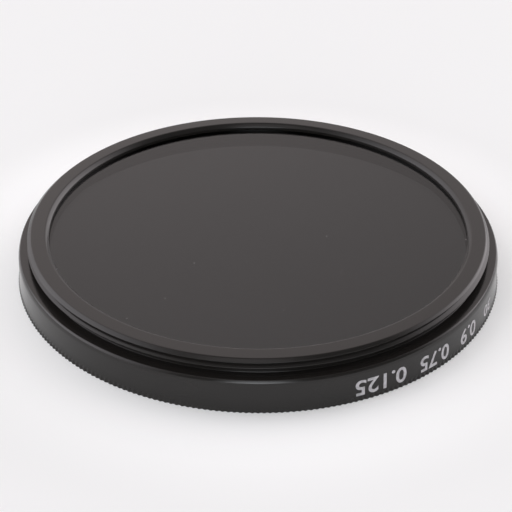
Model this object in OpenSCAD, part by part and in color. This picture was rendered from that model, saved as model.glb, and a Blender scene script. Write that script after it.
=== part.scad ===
// Screw-in camera lens filter: a dark glass disc held in a turned aluminium ring.
// It lies on its front face (z = 0) with the lens-side thread on top. The origin is
// the centre of the front face and +Z runs along the optical axis, towards the lens.

/* [Thread size] */
// Nominal diameter of the filter thread, from which the ring's radii follow
thread_d = 52; // [37:0.5:82]
// Pitch of the filter thread
thread_pitch = 0.75; // [0.5:0.05:1]
// How far the male thread's crest stays inside the nominal radius
thread_slack = 0.05; // [0.02:0.01:0.1]

/* [Rim] */
// Width of the shoulder outside the nominal thread radius
shoulder_w = 1; // [0.6:0.05:3]
// Height from the front face to the shoulder that meets the lens
rim_h = 3.75; // [3.4:0.05:8]
// Broken edge between the shoulder and the outer wall, across the ring
rim_edge_w = 0.15; // [0.05:0.05:0.4]
// The same broken edge, down the wall
rim_edge_h = 0.3; // [0.05:0.05:0.6]

/* [Knurled edge] */
// Height of the knurled band at the front face
knurl_h = 0.4; // [0.2:0.1:2.5]
// How far the roots of the knurl stand out of the smooth wall
knurl_base = 0.1; // [0.02:0.01:0.3]
// Depth of the knurl's grooves, from tip to root
knurl_depth = 0.2; // [0.1:0.05:0.4]
// Distance from one tooth to the next, round the tips
knurl_pitch = 0.595; // [0.4:0.005:1.2]

/* [Lens-side thread boss] */
// Height of the boss above the shoulder
boss_h = 1.75; // [1.3:0.05:3]
// Height of the relief groove between the shoulder and the thread
groove_h = 0.35; // [0.2:0.05:0.6]
// Depth of the relief groove below the thread crest
groove_depth = 0.6; // [0.3:0.05:0.75]
// Lead-in chamfer of the thread, across the ring
lead_w = 0.55; // [0.1:0.05:1.2]
// Lead-in chamfer of the thread, along the axis
lead_h = 0.5; // [0.1:0.05:0.7]

/* [Glass seat] */
// Metal between the nominal thread radius and the bore that holds the glass
seat_wall = 1.4; // [1.2:0.05:2.5]
// How far the lip reaches in from that bore, over the glass
lip_w = 1.1; // [0.5:0.05:2]
// Thickness of the lip above the glass
lip_h = 0.8; // [0.6:0.05:1.8]
// Chamfer on the lip's upper inner edge
lip_edge = 0.4; // [0.05:0.05:0.5]

/* [Glass] */
// Thickness of the glass disc
glass_t = 1.8; // [1:0.1:2.6]
// Clearance round the glass in its seat
glass_gap = 0.1; // [0.05:0.05:0.3]
// Ground bevel on the edges of the glass
glass_bevel = 0.15; // [0.05:0.05:0.4]

/* [Retaining ring] */
// Thickness of the retaining ring
retainer_h = 0.8; // [0.6:0.1:1.4]
// Width of the retaining ring from its bore to its outside
retainer_w = 1.4; // [0.8:0.05:2]
// How far the retaining ring's bore in the frame stands outside the glass seat
retainer_step = 0.35; // [0.2:0.05:0.5]
// Clearance between the retaining ring and its bore
retainer_gap = 0.05; // [0.02:0.01:0.1]
// How far that bore runs on past the ring, beside the glass
retainer_runout = 0.1; // [0.05:0.05:0.3]
// How far the ring is sunk into its bore from the floor of the front thread
retainer_recess = 0.1; // [0.05:0.05:0.4]
// Chamfer on the ring's front inner edge
retainer_edge = 0.2; // [0.05:0.05:0.4]
// Width of the two spanner slots
slot_w = 1.2; // [0.6:0.1:3]
// Depth of the two spanner slots
slot_depth = 0.4; // [0.2:0.05:0.55]

/* [Front thread] */
// Chamfer at the mouth of the front thread
mouth_edge = 0.4; // [0.1:0.05:0.6]

/* [Hidden] */
$fn = 180;

// Depth of a metric internal thread from its nominal radius, as a share of the pitch
internal_thread_share = 0.5413;
// How far a cut runs past the face that it opens
overrun = 1;

// Radii, from the nominal thread radius outwards and inwards
thread_r = thread_d / 2;
male_r = thread_r - thread_slack;
groove_r = male_r - groove_depth;
front_r = thread_r - internal_thread_share * thread_pitch;
rim_r = thread_r + shoulder_w;
knurl_root_r = rim_r + knurl_base;
knurl_tip_r = knurl_root_r + knurl_depth;
seat_r = thread_r - seat_wall;
lip_r = seat_r - lip_w;
glass_r = seat_r - glass_gap;
retainer_bore_r = seat_r + retainer_step;
retainer_r = retainer_bore_r - retainer_gap;
retainer_in_r = retainer_r - retainer_w;

// Heights, from the front face up
total_h = rim_h + boss_h;
glass_top_z = total_h - lip_h;
glass_bottom_z = glass_top_z - glass_t;
retainer_bottom_z = glass_bottom_z - retainer_h;
front_floor_z = retainer_bottom_z - retainer_recess;

// Number of knurl teeth: four equal quarters, so that the ring looks alike from each side
knurl_quarter = round(PI * knurl_tip_r / 2 / knurl_pitch);
knurl_teeth = 4 * knurl_quarter;
knurl_step = 360 / knurl_teeth;

// Outline of the blank that the frame ring is turned from, up its outside
function blank_section() = [
    [0, 0],
    [rim_r, 0],
    [rim_r, rim_h - rim_edge_h],
    // shoulder and relief groove
    [rim_r - rim_edge_w, rim_h],
    [groove_r, rim_h],
    [groove_r, rim_h + groove_h],
    // thread boss with its lead-in chamfer
    [male_r, rim_h + groove_h],
    [male_r, total_h - lead_h],
    [male_r - lead_w, total_h],
    [0, total_h]
];

// Outline of everything that is bored out of the blank, from the front up
function bore_section() = [
    // mouth and front thread
    [0, -overrun],
    [front_r + mouth_edge + overrun, -overrun],
    [front_r, mouth_edge],
    [front_r, front_floor_z],
    // the retaining ring's bore and the glass seat
    [retainer_bore_r, front_floor_z],
    [retainer_bore_r, glass_bottom_z + retainer_runout],
    [seat_r, glass_bottom_z + retainer_runout],
    [seat_r, glass_top_z],
    // opening through the lip
    [lip_r, glass_top_z],
    [lip_r, total_h - lip_edge],
    [lip_r + lip_edge + overrun, total_h + overrun],
    [0, total_h + overrun]
];

// One solid turned from a section
module turned(section) {
    rotate_extrude()
        polygon(section);
}

// The band of straight teeth round the front edge, tip and root in turn
module knurl_band() {
    linear_extrude(height = knurl_h)
        polygon([
            for (tooth = [0:knurl_teeth - 1], half = [0, 1])
                let (
                    a = (tooth + half / 2) * knurl_step,
                    r = half == 0 ? knurl_tip_r : knurl_root_r
                )
                [r * cos(a), r * sin(a)]
        ]);
}

module frame_ring() {
    color([0.16, 0.155, 0.155])
        difference() {
            union() {
                turned(blank_section());
                knurl_band();
            }
            turned(bore_section());
        }
}

module filter_glass() {
    color([0.29, 0.29, 0.3])
        turned([
            [0, glass_bottom_z],
            [glass_r - glass_bevel, glass_bottom_z],
            [glass_r, glass_bottom_z + glass_bevel],
            [glass_r, glass_top_z - glass_bevel],
            [glass_r - glass_bevel, glass_top_z],
            [0, glass_top_z]
        ]);
}

module retaining_ring() {
    color([0.1, 0.1, 0.1])
        difference() {
            turned([
                [retainer_in_r + retainer_edge, retainer_bottom_z],
                [retainer_r, retainer_bottom_z],
                [retainer_r, glass_bottom_z],
                [retainer_in_r, glass_bottom_z],
                [retainer_in_r, retainer_bottom_z + retainer_edge]
            ]);
            // the slots lie opposite each other and open to the front
            translate([-thread_r, -slot_w / 2, retainer_bottom_z - slot_depth])
                cube([thread_d, slot_w, 2 * slot_depth]);
        }
}

frame_ring();
filter_glass();
retaining_ring();
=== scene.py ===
"""Looks of a screw-in lens filter that lies on its front face with the lens-side thread on top."""

import math

import bmesh
import bpy
from mathutils import Matrix, Vector


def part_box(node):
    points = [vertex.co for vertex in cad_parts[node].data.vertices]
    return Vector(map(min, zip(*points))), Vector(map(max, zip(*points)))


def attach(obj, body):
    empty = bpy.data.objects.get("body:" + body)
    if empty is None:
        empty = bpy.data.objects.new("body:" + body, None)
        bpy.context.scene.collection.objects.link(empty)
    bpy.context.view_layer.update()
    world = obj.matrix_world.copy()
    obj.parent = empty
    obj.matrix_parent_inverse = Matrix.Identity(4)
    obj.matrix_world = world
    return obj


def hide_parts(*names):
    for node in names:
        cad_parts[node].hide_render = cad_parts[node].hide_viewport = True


MM = 0.001
UP = Vector((0, 0, 1))
ORIGIN = Vector((0, 0, 0))

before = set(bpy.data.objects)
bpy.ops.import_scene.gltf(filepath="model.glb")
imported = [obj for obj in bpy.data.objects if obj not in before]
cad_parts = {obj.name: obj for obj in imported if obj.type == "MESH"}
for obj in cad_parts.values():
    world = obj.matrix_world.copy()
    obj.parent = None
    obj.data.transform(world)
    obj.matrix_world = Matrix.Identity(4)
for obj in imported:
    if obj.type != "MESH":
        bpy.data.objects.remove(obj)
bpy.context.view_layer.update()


def new_object(name, data):
    """A new object in the scene."""
    made = bpy.data.objects.new(name, data)
    bpy.context.scene.collection.objects.link(made)
    return made


# Camera

# The distance, height angle and lens were fitted to the ring's ellipses in the photograph.
IMAGE_PX = 512
SENSOR_MM = 36
FOCAL_PX = 1447.8
CAMERA_DISTANCE_MM = 166.5
CAMERA_ELEVATION = math.radians(33.32)
CAMERA_AIM_MM = Vector((-0.24, 1.38, 0))
CAMERA_ROLL = math.radians(0.2)
# Nearest and furthest distance that the camera sees, in metres
CAMERA_NEAR = 0.01
CAMERA_FAR = 20


def make_camera():
    """The camera at the photograph's viewing angle."""
    outward = Vector((0, -math.cos(CAMERA_ELEVATION), math.sin(CAMERA_ELEVATION)))
    place = CAMERA_DISTANCE_MM * MM * outward
    ahead = CAMERA_AIM_MM * MM - place
    turn = ahead.to_track_quat("-Z", "Y").to_matrix() @ Matrix.Rotation(CAMERA_ROLL, 3, "Z")
    data = bpy.data.cameras.new("camera")
    data.sensor_width = SENSOR_MM
    data.lens = FOCAL_PX / IMAGE_PX * SENSOR_MM
    data.clip_start = CAMERA_NEAR
    data.clip_end = CAMERA_FAR
    camera = new_object("camera", data)
    camera.matrix_world = Matrix.Translation(place) @ turn.to_4x4()
    bpy.context.scene.camera = camera


make_camera()


# Sizes in millimetres, from the frame where it has them

ring_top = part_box("frame_ring")[1] / MM
glass_low, glass_high = (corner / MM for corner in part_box("filter_glass"))
retainer_low, retainer_high = (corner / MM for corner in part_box("retaining_ring"))

TOTAL_H = ring_top.z
GLASS_R = glass_high.x
GLASS_BOTTOM = glass_low.z
GLASS_TOP = glass_high.z
RETAINER_R = retainer_high.x
RETAINER_BOTTOM = retainer_low.z

# Knurled edge
KNURL_TEETH = 288
KNURL_TIP_R = ring_top.x
# Depth of the solid's teeth, and how far their roots stand out of the rim
KNURL_DEPTH = 0.2
KNURL_BASE = 0.1
# Depth of the teeth as they show in the photograph
KNURL_CUT = 0.1
# The teeth's tips from the front face up: height, and radius outside the rim
KNURL_RUN_OUT = [(0, 0.24), (0.03, 0.27), (0.4, 0.17)]
# How far the band of teeth reaches into the ring's metal, so that the two join
KNURL_BAND_W = 0.8
# Half of these lie on a tooth's tip, and half on its root
CORNERS_PER_TOOTH = 4

# Rim
RIM_R = KNURL_TIP_R - KNURL_DEPTH - KNURL_BASE
RIM_H = 3.75
# The outer wall from the front face up: radius outside the rim, height and corner rounding.
# It flares towards the front face, and its last two corners are the worn edge to the shoulder.
OUTER_WALL = [
    (0.06, 0, 0.04),
    (0.06, 0.25, 0),
    (0.18, 0.33, 0),
    (0.12, 0.8, 0),
    (0.08, 1.3, 0),
    (0.04, 2.4, 0),
    (0.02, 3.2, 0.12),
    (-0.06, 3.52, 0.08),
    (-0.2, RIM_H, 0.04),
]

# Both threads
SHOULDER_W = 1
THREAD_R = RIM_R - SHOULDER_W
THREAD_PITCH = 0.75
THREAD_HALF_ANGLE = math.radians(30)
# Width of a groove at its root, and at its mouth in each thread, as shares of the pitch
ROOT_SHARE = 0.2
MALE_MOUTH_SHARE = 0.9
FRONT_MOUTH_SHARE = 0.75
# Rounding of the crests, and the directions of its points in degrees, from flank to crest
THREAD_ROUNDING = 0.025
CREST_ARC = (60, 40, 20, 0)

# Lens-side boss with the relief groove, the male thread and its lead-in chamfer
THREAD_SLACK = 0.05
MALE_R = THREAD_R - THREAD_SLACK
MALE_DEPTH = 0.46
# Where the male thread starts round the ring, so that its ridges lie as in the photograph
MALE_START = math.radians(60)
GROOVE_H = 0.42
GROOVE_DEPTH = 0.5
LEAD_W = 0.46
LEAD_H = 0.45

# Bore, from the lens side down
LIP_W = 1.1
LIP_EDGE = 0.4
GLASS_GAP = 0.1
SEAT_R = GLASS_R + GLASS_GAP
LIP_R = SEAT_R - LIP_W
RETAINER_GAP = 0.05
RETAINER_RUNOUT = 0.1
RETAINER_RECESS = 0.1
RETAINER_BORE_R = RETAINER_R + RETAINER_GAP
FRONT_FLOOR = RETAINER_BOTTOM - RETAINER_RECESS
# Depth of a metric internal thread from its nominal radius, as a share of the pitch
INTERNAL_THREAD_SHARE = 0.5413
FRONT_R = THREAD_R - INTERNAL_THREAD_SHARE * THREAD_PITCH
# How far the front thread's roots lie outside the nominal radius
FRONT_ROOT_SLACK = 0.04
MOUTH_EDGE = 0.4

# How far the thread cutters reach past the crests, and where they stop short of the shoulder
# and of the floor of the front bore
MALE_OVERRUN = 0.4
FRONT_OVERRUN = 0.5
MALE_STOP = 0.01
FRONT_STOP = 0.02

# Retaining ring and glass
RETAINER_W = 1.4
RETAINER_EDGE = 0.2
SLOT_W = 1.2
SLOT_DEPTH = 0.4
GLASS_BEVEL = 0.15

# Round shapes are spun in this many steps, one to a knurl tooth
STEPS = KNURL_TEETH
THREAD_STEPS = 144
ROUNDING_STEPS = 3
# Faces that meet at less than this are shaded smooth
SMOOTH_BELOW = math.radians(35)
# Vertices closer than this are one, in a new mesh and after a cut, in metres
WELD = 1e-7
WELD_AFTER_CUT = 1e-8
# Vertices closer than this to a cutting plane lie on it, in metres
ON_PLANE = 1e-9


# Making meshes

def only(geometry, kind):
    """The vertices or edges out of what a bmesh operator made."""
    return [part for part in geometry if isinstance(part, kind)]


def shade(mesh):
    """Shades a mesh smooth between its sharp corners."""
    mesh.shade_smooth()
    mesh.set_sharp_from_angle(angle=SMOOTH_BELOW)


def finish_mesh(bm, name):
    """Turns a bmesh into an object at the origin, with its normals outward."""
    bmesh.ops.remove_doubles(bm, verts=bm.verts, dist=WELD)
    bmesh.ops.recalc_face_normals(bm, faces=bm.faces)
    mesh = bpy.data.meshes.new(name)
    bm.to_mesh(mesh)
    bm.free()
    shade(mesh)
    return new_object(name, mesh)


def section_wire(bm, section):
    """Draws a closed section of (radius, height, corner rounding) points in the XZ plane."""
    verts = [bm.verts.new((r * MM, 0, z * MM)) for r, z, _ in section]
    for here, there in zip(verts, verts[1:] + verts[:1]):
        bm.edges.new((here, there))
    for size in sorted({rounding for _, _, rounding in section if rounding}):
        corners = [v for v, (_, _, rounding) in zip(verts, section) if rounding == size]
        bmesh.ops.bevel(
            bm, geom=corners, offset=size * MM, offset_type="OFFSET", segments=ROUNDING_STEPS,
            profile=0.5, affect="VERTICES", material=-1,
        )


def turned(name, section):
    """A solid of revolution about Z from a closed section."""
    bm = bmesh.new()
    section_wire(bm, section)
    bmesh.ops.spin(
        bm, geom=bm.verts[:] + bm.edges[:], cent=ORIGIN, axis=UP,
        angle=math.tau, steps=STEPS, use_merge=True,
    )
    return finish_mesh(bm, name)


def helical_cutter(name, section, low, high, start_angle=0):
    """A thread cutter: a section swept up a helix, trimmed flat at low and high."""
    bm = bmesh.new()
    section_wire(bm, section)
    bmesh.ops.translate(bm, verts=bm.verts, vec=UP * ((low - THREAD_PITCH) * MM))
    bmesh.ops.edgenet_fill(bm, edges=bm.edges)
    swept = bm.verts[:] + bm.edges[:] + bm.faces[:]
    # the sweep starts a turn below the cut and ends above it
    for _ in range(math.ceil((high - low) / THREAD_PITCH) + 2):
        swept = bmesh.ops.spin(
            bm, geom=swept, cent=ORIGIN, axis=UP, dvec=UP * (THREAD_PITCH * MM / THREAD_STEPS),
            angle=math.tau, steps=THREAD_STEPS, use_merge=False,
        )["geom_last"]
    for height, side in ((low, -1), (high, 1)):
        cut = bmesh.ops.bisect_plane(
            bm, geom=bm.verts[:] + bm.edges[:] + bm.faces[:], dist=ON_PLANE,
            plane_co=UP * (height * MM), plane_no=UP * side, clear_outer=True,
        )
        bmesh.ops.holes_fill(bm, edges=only(cut["geom_cut"], bmesh.types.BMEdge))
    turn = Matrix.Rotation(start_angle, 3, "Z")
    bmesh.ops.rotate(bm, verts=bm.verts, cent=ORIGIN, matrix=turn)
    return finish_mesh(bm, name)


def combine(piece, *steps):
    """Applies exact unions and differences to a piece, and takes the tools away."""
    for operation, tool in steps:
        modifier = piece.modifiers.new("cut", "BOOLEAN")
        modifier.operation = operation
        modifier.solver = "EXACT"
        modifier.object = tool
        depsgraph = bpy.context.evaluated_depsgraph_get()
        result = bpy.data.meshes.new_from_object(piece.evaluated_get(depsgraph))
        piece.modifiers.clear()
        piece.data = result
        bpy.data.objects.remove(tool)
    bm = bmesh.new()
    bm.from_mesh(piece.data)
    bmesh.ops.remove_doubles(bm, verts=bm.verts, dist=WELD_AFTER_CUT)
    bm.to_mesh(piece.data)
    bm.free()
    shade(piece.data)


def flat_faces_flat(piece):
    """Keeps the wide faces flat in their shading and leaves the curve to the rounded corners."""
    modifier = piece.modifiers.new("weighted_normals", "WEIGHTED_NORMAL")
    modifier.keep_sharp = True


# The frame ring

def ring_section():
    """The turned section with its broken corners: up the outside and down the inside."""
    return [
        # front face and outer wall
        (FRONT_R + MOUTH_EDGE, 0, 0.04),
        *[(RIM_R + out, z, rounding) for out, z, rounding in OUTER_WALL],
        # shoulder and relief groove
        (MALE_R - GROOVE_DEPTH, RIM_H, 0.05),
        (MALE_R - GROOVE_DEPTH, RIM_H + GROOVE_H, 0),
        # thread boss with its lead-in chamfer
        (MALE_R, RIM_H + GROOVE_H, 0),
        (MALE_R, TOTAL_H - LEAD_H, 0),
        (MALE_R - LEAD_W, TOTAL_H, 0.1),
        # lip over the glass
        (LIP_R + LIP_EDGE, TOTAL_H, 0.12),
        (LIP_R, TOTAL_H - LIP_EDGE, 0.05),
        (LIP_R, GLASS_TOP, 0.03),
        # glass seat and the retaining ring's bore
        (SEAT_R, GLASS_TOP, 0),
        (SEAT_R, GLASS_BOTTOM + RETAINER_RUNOUT, 0),
        (RETAINER_BORE_R, GLASS_BOTTOM + RETAINER_RUNOUT, 0),
        (RETAINER_BORE_R, FRONT_FLOOR, 0.03),
        # front thread with the chamfer at its mouth
        (FRONT_R, FRONT_FLOOR, 0),
        (FRONT_R, MOUTH_EDGE, 0),
    ]


def knurl_band():
    """The band of straight teeth round the front edge, with its ends chamfered."""
    bm = bmesh.new()
    segments = KNURL_TEETH * CORNERS_PER_TOOTH
    bmesh.ops.create_circle(bm, segments=segments, radius=KNURL_TIP_R * MM)
    root_share = (KNURL_TIP_R - KNURL_CUT) / KNURL_TIP_R
    step = math.tau / segments
    for v in bm.verts:
        corner = round(math.atan2(v.co.y, v.co.x) / step) % CORNERS_PER_TOOTH
        if corner >= CORNERS_PER_TOOTH / 2:
            v.co *= root_share
    # each loop is the outline scaled and moved up, from the front face round to the inside
    loops = [(1 + (RIM_R + out - KNURL_TIP_R) / KNURL_TIP_R, z) for z, out in KNURL_RUN_OUT]
    inside = 1 - KNURL_BAND_W / KNURL_TIP_R
    loops += [(inside, KNURL_RUN_OUT[-1][0]), (inside, 0)]
    scale, height = loops[0]
    for v in bm.verts:
        v.co = v.co * scale + UP * (height * MM)
    first = bm.edges[:]
    loop = first
    for new_scale, height in loops[1:]:
        made = bmesh.ops.extrude_edge_only(bm, edges=loop)["geom"]
        verts = only(made, bmesh.types.BMVert)
        loop = only(made, bmesh.types.BMEdge)
        bmesh.ops.scale(bm, verts=verts, vec=(new_scale / scale, new_scale / scale, 1))
        for v in verts:
            v.co.z = height * MM
        scale = new_scale
    bmesh.ops.bridge_loops(bm, edges=first + loop)
    return finish_mesh(bm, "knurl_band")


def thread_groove(root_r, crest_r, mouth_share, clear_r):
    """The section of a thread groove, closed beyond the crests."""
    # the flank runs into the crest over a small arc, so that the crest comes out rounded
    reach = THREAD_ROUNDING * math.tan(THREAD_HALF_ANGLE)
    into = math.copysign(THREAD_ROUNDING, crest_r - root_r)
    flank = []
    for turn in CREST_ARC:
        across = into * (math.cos(math.radians(turn)) - 1)
        along = reach - THREAD_ROUNDING * math.sin(math.radians(turn))
        flank.append((crest_r + across, THREAD_PITCH * mouth_share / 2 + along, 0))
    root = (root_r, THREAD_PITCH * ROOT_SHARE / 2, THREAD_ROUNDING / 2)
    half = [root, *flank, (clear_r, flank[-1][1], 0)]
    return half + [(r, -z, rounding) for r, z, rounding in reversed(half)]


def make_ring():
    """The turned ring with its knurl and its two threads."""
    ring = turned("ring_turned", ring_section())
    male_root_r = MALE_R - MALE_DEPTH
    male = helical_cutter(
        "male_thread",
        thread_groove(male_root_r, MALE_R, MALE_MOUTH_SHARE, MALE_R + MALE_OVERRUN),
        RIM_H + MALE_STOP, TOTAL_H + THREAD_PITCH, MALE_START,
    )
    front_root_r = THREAD_R + FRONT_ROOT_SLACK
    front = helical_cutter(
        "front_thread",
        thread_groove(front_root_r, FRONT_R, FRONT_MOUTH_SHARE, FRONT_R - FRONT_OVERRUN),
        -THREAD_PITCH, FRONT_FLOOR - FRONT_STOP,
    )
    combine(ring, ("UNION", knurl_band()), ("DIFFERENCE", male), ("DIFFERENCE", front))
    flat_faces_flat(ring)
    return ring


# The retaining ring

def make_retainer():
    """The ring that clamps the glass, with its two spanner slots."""
    inner = RETAINER_R - RETAINER_W
    ring = turned("retaining_ring_detail", [
        (inner + RETAINER_EDGE, RETAINER_BOTTOM, 0.03),
        (RETAINER_R, RETAINER_BOTTOM, 0.05),
        (RETAINER_R, GLASS_BOTTOM, 0.05),
        (inner, GLASS_BOTTOM, 0),
        (inner, RETAINER_BOTTOM + RETAINER_EDGE, 0.03),
    ])
    # the cutter reaches past the ring on both sides, and below it
    cutter_size = Vector((2.2 * RETAINER_R, SLOT_W, 2 * SLOT_DEPTH)) * MM
    bm = bmesh.new()
    bmesh.ops.create_cube(bm, size=1)
    bmesh.ops.scale(bm, verts=bm.verts, vec=cutter_size)
    bmesh.ops.translate(bm, verts=bm.verts, vec=UP * (RETAINER_BOTTOM * MM))
    combine(ring, ("DIFFERENCE", finish_mesh(bm, "slot_cutter")))
    return ring


# The glass

def make_glass():
    """The glass disc with its ground bevels."""
    return turned("glass_disc", [
        (0, GLASS_BOTTOM, 0),
        (GLASS_R - GLASS_BEVEL, GLASS_BOTTOM, 0),
        (GLASS_R, GLASS_BOTTOM + GLASS_BEVEL, 0),
        (GLASS_R, GLASS_TOP - GLASS_BEVEL, 0),
        (GLASS_R - GLASS_BEVEL, GLASS_TOP, 0),
        (0, GLASS_TOP, 0),
    ])


# Painted numbers on the wall

# Height of the digits and of their middle above the front face
DIGIT_H = 1.85
DIGIT_MIDDLE_Z = 1.52
# How much the strokes are widened, as a share of the type size
DIGIT_WEIGHT = 0.016
DIGIT_CURVE_STEPS = 6
PAINT_THICKNESS = 0.012
# Each group: what it says, its left and right end round the wall in degrees, and its height
# as a share of the digits' height
PAINTED_GROUPS = [
    ("0.125", 291.2, 303.9, 1),
    ("0.75", 307.9, 317.1, 1),
    ("0.9", 321.8, 328.6, 1),
    ("30", 333.8, 338.6, 0.75),
]


def wall_radius(height):
    """Radius of the flared wall at a height above the front face."""
    for (out_low, low, _), (out_high, high, _) in zip(OUTER_WALL, OUTER_WALL[1:]):
        if height <= high:
            break
    return RIM_R + out_low + (out_high - out_low) * (height - low) / (high - low)


def wrap_on_wall(mesh, middle_deg):
    """Bends flat artwork round the wall, upside down: x runs backwards round the ring."""
    for v in mesh.vertices:
        angle = math.radians(middle_deg) - v.co.x / (RIM_R * MM)
        height = DIGIT_MIDDLE_Z * MM - v.co.y
        out = wall_radius(height / MM) * MM + v.co.z
        v.co = (out * math.cos(angle), out * math.sin(angle), height)


def painted_digits(text, width, height):
    """One group of digits as a thin flat plate of paint, centred on the origin."""
    curve = bpy.data.curves.new("digits", "FONT")
    curve.body = text
    curve.offset = DIGIT_WEIGHT
    curve.resolution_u = DIGIT_CURVE_STEPS
    flat = new_object("digits", curve)
    depsgraph = bpy.context.evaluated_depsgraph_get()
    mesh = bpy.data.meshes.new_from_object(flat.evaluated_get(depsgraph))
    bpy.data.objects.remove(flat)
    bm = bmesh.new()
    bm.from_mesh(mesh)
    low = Vector(map(min, *(v.co for v in bm.verts)))
    high = Vector(map(max, *(v.co for v in bm.verts)))
    fit = Vector((width / (high.x - low.x), height * MM / (high.y - low.y), 1))
    bmesh.ops.translate(bm, verts=bm.verts, vec=-(low + high) / 2)
    bmesh.ops.scale(bm, verts=bm.verts, vec=fit)
    bmesh.ops.remove_doubles(bm, verts=bm.verts, dist=WELD)
    bmesh.ops.recalc_face_normals(bm, faces=bm.faces)
    made = bmesh.ops.extrude_face_region(bm, geom=bm.faces[:])["geom"]
    raised = only(made, bmesh.types.BMVert)
    bmesh.ops.translate(bm, verts=raised, vec=UP * (PAINT_THICKNESS * MM))
    bm.to_mesh(mesh)
    bm.free()
    return mesh


def make_paint():
    """All the painted groups as one piece."""
    bm = bmesh.new()
    for text, left_deg, right_deg, height_share in PAINTED_GROUPS:
        width = math.radians(right_deg - left_deg) * RIM_R * MM
        mesh = painted_digits(text, width, DIGIT_H * height_share)
        wrap_on_wall(mesh, (left_deg + right_deg) / 2)
        bm.from_mesh(mesh)
    return finish_mesh(bm, "painted_numbers")


# Dust on the glass and at the lip

# Each speck: x, y and z of its lower side, and its length
SPECKS = [
    (-6.96, -7.35, GLASS_TOP, 0.16),
    (-9.75, -14.09, GLASS_TOP, 0.14),
    (-13.48, -17.74, GLASS_TOP, 0.12),
    (7.69, -1.71, GLASS_TOP, 0.16),
    (8.93, -9.0, GLASS_TOP, 0.12),
    (6.22, -5.64, GLASS_TOP, 0.1),
    (2.67, -16.19, GLASS_TOP, 0.12),
    (-21.66, -9.39, TOTAL_H - 0.29, 0.2),
    (23.16, -2.77, TOTAL_H - 0.52, 0.2),
]
# Shares of a speck's length that its three sides have, and that its middle is raised by
SPECK_SHAPE = (1, 0.6, 0.35)
SPECK_RAISED = 0.15
# Turn from one speck to the next, in radians, so that they don't lie alike
SPECK_TURN = 1.9


def make_dust():
    """Flat flecks of dust as one piece."""
    bm = bmesh.new()
    for number, (x, y, z, length) in enumerate(SPECKS):
        speck = bmesh.ops.create_icosphere(bm, subdivisions=1, radius=length * MM / 2)["verts"]
        bmesh.ops.scale(bm, verts=speck, vec=SPECK_SHAPE)
        turn = Matrix.Rotation(number * SPECK_TURN, 3, "Z")
        bmesh.ops.rotate(bm, verts=speck, cent=ORIGIN, matrix=turn)
        place = Vector((x, y, z + SPECK_RAISED * length)) * MM
        bmesh.ops.translate(bm, verts=speck, vec=place)
    return finish_mesh(bm, "dust_specks")


# Materials

# The refraction indexes were fitted to the sheen in the photograph
ANODISED_IOR = 1.42
GLASS_IOR = 1.37
GLASS_GREY = (0.061, 0.061, 0.062, 1)
RING_BLACK = (0.0132, 0.012, 0.011)
RETAINER_BLACK = (0.012, 0.012, 0.012)
PAINT_THIN = (0.38, 0.37, 0.38, 1)
PAINT_FULL = (0.55, 0.54, 0.56, 1)


def new_material(name):
    """A node material, its tree, its Principled shader and the piece's own coordinates."""
    material = bpy.data.materials.new(name)
    material.use_nodes = True
    tree = material.node_tree
    position = tree.nodes.new("ShaderNodeTexCoord").outputs["Object"]
    return material, tree, tree.nodes["Principled BSDF"], position


def math_node(tree, operation, *values):
    """A Math node, with sockets or numbers for its inputs."""
    node = tree.nodes.new("ShaderNodeMath")
    node.operation = operation
    for socket, value in zip(node.inputs, values):
        if isinstance(value, bpy.types.NodeSocket):
            tree.links.new(value, socket)
        else:
            socket.default_value = value
    return node.outputs[0]


def noise_node(tree, vector, per_mm, detail=2):
    """A noise texture with this many features to the millimetre."""
    node = tree.nodes.new("ShaderNodeTexNoise")
    node.inputs["Scale"].default_value = per_mm / MM
    node.inputs["Detail"].default_value = detail
    tree.links.new(vector, node.inputs["Vector"])
    return node.outputs["Fac"]


def ranged(tree, value, low, high, start=0, end=1, interpolation="LINEAR"):
    """Spreads a value that runs from start to end between low and high."""
    node = tree.nodes.new("ShaderNodeMapRange")
    node.interpolation_type = interpolation
    node.inputs["From Min"].default_value = start
    node.inputs["From Max"].default_value = end
    node.inputs["To Min"].default_value = low
    node.inputs["To Max"].default_value = high
    tree.links.new(value, node.inputs["Value"])
    return node.outputs["Result"]


def turning_lines(tree, position, lines_per_mm):
    """Fine lines round the axis, as a lathe leaves them on walls and faces alike."""
    split = tree.nodes.new("ShaderNodeSeparateXYZ")
    tree.links.new(position, split.inputs[0])
    x_squared = math_node(tree, "MULTIPLY", split.outputs["X"], split.outputs["X"])
    y_squared = math_node(tree, "MULTIPLY", split.outputs["Y"], split.outputs["Y"])
    radius = math_node(tree, "SQRT", math_node(tree, "ADD", x_squared, y_squared))
    section = tree.nodes.new("ShaderNodeCombineXYZ")
    tree.links.new(radius, section.inputs["X"])
    tree.links.new(split.outputs["Z"], section.inputs["Y"])
    return noise_node(tree, section.outputs[0], lines_per_mm, detail=1)


def bumped(tree, shader, height, distance_mm, strength):
    """Adds a bump to the shader from a height, on top of the bump that it has."""
    bump = tree.nodes.new("ShaderNodeBump")
    bump.inputs["Distance"].default_value = distance_mm * MM
    bump.inputs["Strength"].default_value = strength
    tree.links.new(height, bump.inputs["Height"])
    before = shader.inputs["Normal"].links
    if before:
        tree.links.new(before[0].from_socket, bump.inputs["Normal"])
    tree.links.new(bump.outputs["Normal"], shader.inputs["Normal"])


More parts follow.
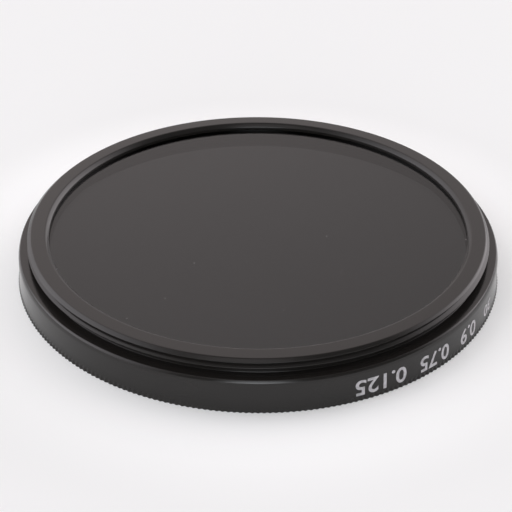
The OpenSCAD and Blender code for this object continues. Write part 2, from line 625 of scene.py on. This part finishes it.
def anodised(name, colour, smooth, rough):
    """Black anodised aluminium: an etched grain over soft turning lines."""
    material, tree, shader, position = new_material(name)
    shader.inputs["Base Color"].default_value = (*colour, 1)
    shader.inputs["IOR"].default_value = ANODISED_IOR
    clouds = noise_node(tree, position, per_mm=0.25)
    tree.links.new(ranged(tree, clouds, smooth, rough), shader.inputs["Roughness"])
    lines = turning_lines(tree, position, lines_per_mm=9)
    bumped(tree, shader, lines, distance_mm=0.002, strength=0.12)
    grain = noise_node(tree, position, per_mm=14)
    bumped(tree, shader, grain, distance_mm=0.002, strength=0.15)
    return material


def nd_glass():
    """Grey neutral-density glass with a faint haze."""
    material, tree, shader, position = new_material("nd_glass")
    shader.inputs["Base Color"].default_value = GLASS_GREY
    shader.inputs["Transmission Weight"].default_value = 1
    shader.inputs["IOR"].default_value = GLASS_IOR
    haze = noise_node(tree, position, per_mm=0.1, detail=3)
    roughness = ranged(tree, haze, low=0.01, high=0.04)
    tree.links.new(roughness, shader.inputs["Roughness"])
    return material


def marking_paint():
    """Pale grey marking paint, thinner in places."""
    material, tree, shader, position = new_material("marking_paint")
    ramp = tree.nodes.new("ShaderNodeValToRGB")
    thin, full = ramp.color_ramp.elements
    thin.position = 0.3
    thin.color = PAINT_THIN
    full.position = 0.6
    full.color = PAINT_FULL
    tree.links.new(noise_node(tree, position, per_mm=3), ramp.inputs["Fac"])
    tree.links.new(ramp.outputs["Color"], shader.inputs["Base Color"])
    shader.inputs["Roughness"].default_value = 0.55
    grain = noise_node(tree, position, per_mm=12)
    bumped(tree, shader, grain, distance_mm=0.003, strength=0.4)
    return material


def dust_lint():
    """Pale lint."""
    material, tree, shader, position = new_material("dust_lint")
    level = ranged(tree, noise_node(tree, position, per_mm=0.3), low=0.12, high=0.4)
    colour = tree.nodes.new("ShaderNodeCombineColor")
    for channel in colour.inputs:
        tree.links.new(level, channel)
    tree.links.new(colour.outputs[0], shader.inputs["Base Color"])
    shader.inputs["Roughness"].default_value = 0.9
    return material


def dress(piece, material, node=None):
    """Gives a piece its material and its body, and hides the imported mesh of the node that it
    stands for.
    """
    piece.data.materials.clear()
    piece.data.materials.append(material)
    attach(piece, "root")
    if node:
        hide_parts(node)


ring_black = anodised("ring_anodised", RING_BLACK, smooth=0.14, rough=0.19)
retainer_black = anodised("retainer_anodised", RETAINER_BLACK, smooth=0.38, rough=0.46)
dress(make_ring(), ring_black, "frame_ring")
dress(make_retainer(), retainer_black, "retaining_ring")
dress(make_glass(), nd_glass(), "filter_glass")
dress(make_paint(), marking_paint())
dress(make_dust(), dust_lint())


# Floor and light

# Soft light panels on the sky: direction round and up in degrees, the half-angles at which
# each is full and at which it ends, its strength and its colour
LIGHT_PANELS = [
    # behind and high, then to the left and to the right
    (106, 38, 5, 62, 0.98, (1.05, 0.945, 0.94)),
    (178, 17, 8, 62, 2.5, (1.01, 0.975, 1.02)),
    (29, 17, 4, 50, 3.3, (1.03, 0.965, 0.99)),
    # low behind
    (124, 0, 5, 24, 0.35, (1.01, 0.97, 1.02)),
    (60, 0, 5, 20, 0.55, (1.02, 0.97, 1)),
    (84, 6, 5, 22, 0.35, (1.02, 0.98, 0.98)),
    # overhead
    (0, 90, 8, 34, 0.08, (1.03, 0.97, 0.99)),
    # in front, from low to high
    (270, 4, 6, 20, 5.2, (0.95, 0.98, 1.02)),
    (270, 24, 6, 18, 2.4, (0.95, 0.98, 1.02)),
    (262, 54, 9, 24, 0.7, (1.03, 0.97, 0.99)),
]
ROOM_LEVEL = 0.15
FLOOR_SIZE_M = 1.5
# The paper's level near the ring, where it is painted paler to lift the ring's shadow, and further
# out, and the distances between which it changes
FLOOR_NEAR_PAINTED_LIGHT_LEVEL = 0.855
FLOOR_FAR_LEVEL = 0.7
FLOOR_NEAR_MM = 28
FLOOR_FAR_MM = 42
FLOOR_TINT = (0.975, 1, 0.995)
# How much of the paper's white is seen whatever light falls on it
FLOOR_GLOW = 0.18


def make_floor():
    """A wide sheet of white paper, with painted light round the ring that lifts the ring's shadow.
    """
    bm = bmesh.new()
    bmesh.ops.create_grid(bm, x_segments=1, y_segments=1, size=FLOOR_SIZE_M)
    mesh = bpy.data.meshes.new("floor")
    bm.to_mesh(mesh)
    bm.free()
    floor = new_object("floor", mesh)
    material, tree, shader, position = new_material("floor_paper")
    distance = tree.nodes.new("ShaderNodeVectorMath")
    distance.operation = "LENGTH"
    tree.links.new(position, distance.inputs[0])
    # painted light: the paper is paler near the ring, which lifts the ring's shadow on it
    paper = ranged(
        tree, distance.outputs["Value"], FLOOR_NEAR_PAINTED_LIGHT_LEVEL, FLOOR_FAR_LEVEL,
        FLOOR_NEAR_MM * MM, FLOOR_FAR_MM * MM, "SMOOTHSTEP",
    )
    tint = tree.nodes.new("ShaderNodeVectorMath")
    tint.operation = "SCALE"
    tint.inputs[0].default_value = FLOOR_TINT
    tree.links.new(paper, tint.inputs["Scale"])
    tree.links.new(tint.outputs[0], shader.inputs["Base Color"])
    shader.inputs["Roughness"].default_value = 0.9
    rays = tree.nodes.new("ShaderNodeLightPath").outputs
    seen = math_node(tree, "ADD", rays["Is Camera Ray"], rays["Is Glossy Ray"])
    seen = math_node(tree, "ADD", seen, rays["Is Transmission Ray"])
    seen = math_node(tree, "MINIMUM", seen, 1)
    glow = math_node(tree, "MULTIPLY", seen, FLOOR_GLOW)
    tree.links.new(glow, shader.inputs["Emission Strength"])
    shader.inputs["Emission Color"].default_value = (1, 1, 1, 1)
    mesh.materials.append(material)


def make_light():
    """A dim room with soft panels all round, from low to overhead."""
    world = bpy.data.worlds.new("studio")
    world.use_nodes = True
    tree = world.node_tree
    direction = tree.nodes.new("ShaderNodeTexCoord").outputs["Generated"]
    room = tree.nodes.new("ShaderNodeCombineXYZ")
    for channel in room.inputs:
        channel.default_value = ROOM_LEVEL
    total = room.outputs[0]
    for azimuth, elevation, full, end, strength, colour in LIGHT_PANELS:
        azimuth = math.radians(azimuth)
        elevation = math.radians(elevation)
        aim = tree.nodes.new("ShaderNodeVectorMath")
        aim.operation = "DOT_PRODUCT"
        aim.inputs[1].default_value = (
            math.cos(elevation) * math.cos(azimuth),
            math.cos(elevation) * math.sin(azimuth),
            math.sin(elevation),
        )
        tree.links.new(direction, aim.inputs[0])
        angle = math_node(tree, "ARCCOSINE", aim.outputs["Value"])
        level = ranged(
            tree, angle, 0, strength, math.radians(end), math.radians(full), "SMOOTHSTEP",
        )
        add = tree.nodes.new("ShaderNodeVectorMath")
        add.operation = "MULTIPLY_ADD"
        add.inputs[1].default_value = colour
        tree.links.new(level, add.inputs[0])
        tree.links.new(total, add.inputs[2])
        total = add.outputs["Vector"]
    tree.links.new(total, tree.nodes["Background"].inputs["Color"])
    bpy.context.scene.world = world
    bpy.context.scene.view_settings.view_transform = "Standard"


make_floor()
make_light()
